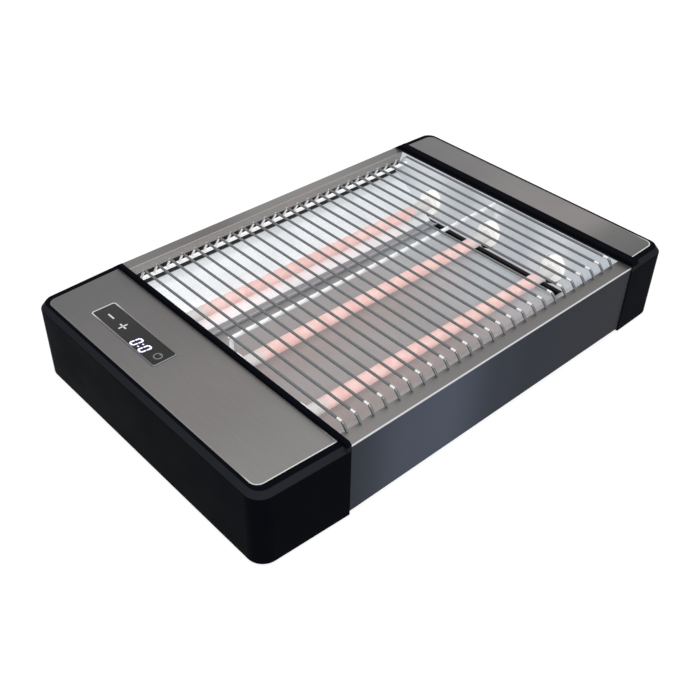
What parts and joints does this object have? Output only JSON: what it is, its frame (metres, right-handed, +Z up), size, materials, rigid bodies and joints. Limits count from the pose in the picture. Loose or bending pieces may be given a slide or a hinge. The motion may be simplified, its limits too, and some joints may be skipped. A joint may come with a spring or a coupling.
{
  "type": "flat toaster",
  "caption": "Low flat toaster with quartz tubes under a tip-up wire rack, slide-out crumb tray and a touch display in its wide end cap.",
  "frame": {"origin": "on the standing plane under the feet, at the middle of the overall length and depth", "axes": "+X to the narrow end cap, -Y to the long front panel, +Z up"},
  "size_m": [0.4, 0.255, 0.0685],
  "materials": {
    "cap_plastic": "satin",
    "plate_steel": "brushed",
    "bezel_chrome": "polished",
    "window_glass": "polished",
    "display_plastic": "satin",
    "pad_foam": "matte",
    "board_laminate": "matte",
    "relay_plastic": "satin",
    "transformer_tape": "matte",
    "capacitor_plastic": "gloss",
    "terminal_plastic": "matte",
    "gland_plastic": "matte",
    "cover_plastic": "matte",
    "screw_steel": "satin",
    "foot_rubber": "matte",
    "panel_paint": "satin",
    "pan_steel": "satin",
    "reflector_steel": "satin",
    "tray_steel": "satin",
    "ceramic_white": "matte",
    "quartz_glass": "polished",
    "coil_wire": "matte",
    "busbar_nickel": "satin",
    "cutout_metal": "satin",
    "lead_silicone": "matte",
    "cable_pvc": "matte",
    "rack_chrome": "polished"
  },
  "bodies": {
    "toaster": {"left_end_cap": "cap_plastic", "right_end_cap": "cap_plastic", "left_top_plate": "plate_steel", "right_top_plate": "plate_steel", "window_bezel": "bezel_chrome", "control_window": "window_glass", "display_module": "display_plastic", "touch_pads": "pad_foam", "control_board": "board_laminate", "power_board": "board_laminate", "board_screws": "screw_steel", "relay": "relay_plastic", "transformer": "transformer_tape", "capacitor": "capacitor_plastic", "terminal_block": "terminal_plastic", "cord_gland": "gland_plastic", "left_base_cover": "cover_plastic", "right_base_cover": "cover_plastic", "cover_screws": "screw_steel", "left_feet": "foot_rubber", "right_feet": "foot_rubber", "left_heat_shield": "pan_steel", "right_heat_shield": "pan_steel", "front_panel": "panel_paint", "back_panel": "panel_paint", "base_pan": "pan_steel", "pan_rivets": "screw_steel", "pan_screws": "screw_steel", "front_reflector": "reflector_steel", "back_reflector": "reflector_steel", "left_end_reflector": "reflector_steel", "right_end_reflector": "reflector_steel", "left_tray_rail": "pan_steel", "right_tray_rail": "pan_steel", "left_bus_bar": "busbar_nickel", "right_bus_bar": "busbar_nickel", "thermal_cutout": "cutout_metal", "cutout_lead": "lead_silicone", "supply_lead": "lead_silicone", "return_lead": "lead_silicone", "mains_leads": "lead_silicone", "board_cable": "cable_pvc", "front_quartz_tube": "quartz_glass", "front_heating_coil": "coil_wire", "front_left_collar": "ceramic_white", "front_right_collar": "ceramic_white", "middle_quartz_tube": "quartz_glass", "middle_heating_coil": "coil_wire", "middle_left_collar": "ceramic_white", "middle_right_collar": "ceramic_white", "back_quartz_tube": "quartz_glass", "back_heating_coil": "coil_wire", "back_left_collar": "ceramic_white", "back_right_collar": "ceramic_white"},
    "rack": {"rack_cross_wires": "rack_chrome", "rack_middle_rod": "rack_chrome", "rack_rear_rod": "rack_chrome"},
    "tray": {"crumb_tray": "tray_steel", "tray_grip": "cover_plastic", "grip_rivets": "screw_steel"}
  },
  "joints": [
    {"name": "rack_hinge", "type": "hinge", "parent": "toaster", "child": "rack", "pos_m": [0, 0.1075, 0.0555], "axis": [-1, 0, 0], "range_deg": [0, 65]},
    {"name": "tray_slide", "type": "slide", "parent": "toaster", "child": "tray", "axis": [0, 1, 0], "range_m": [0, 0.2]}
  ]
}
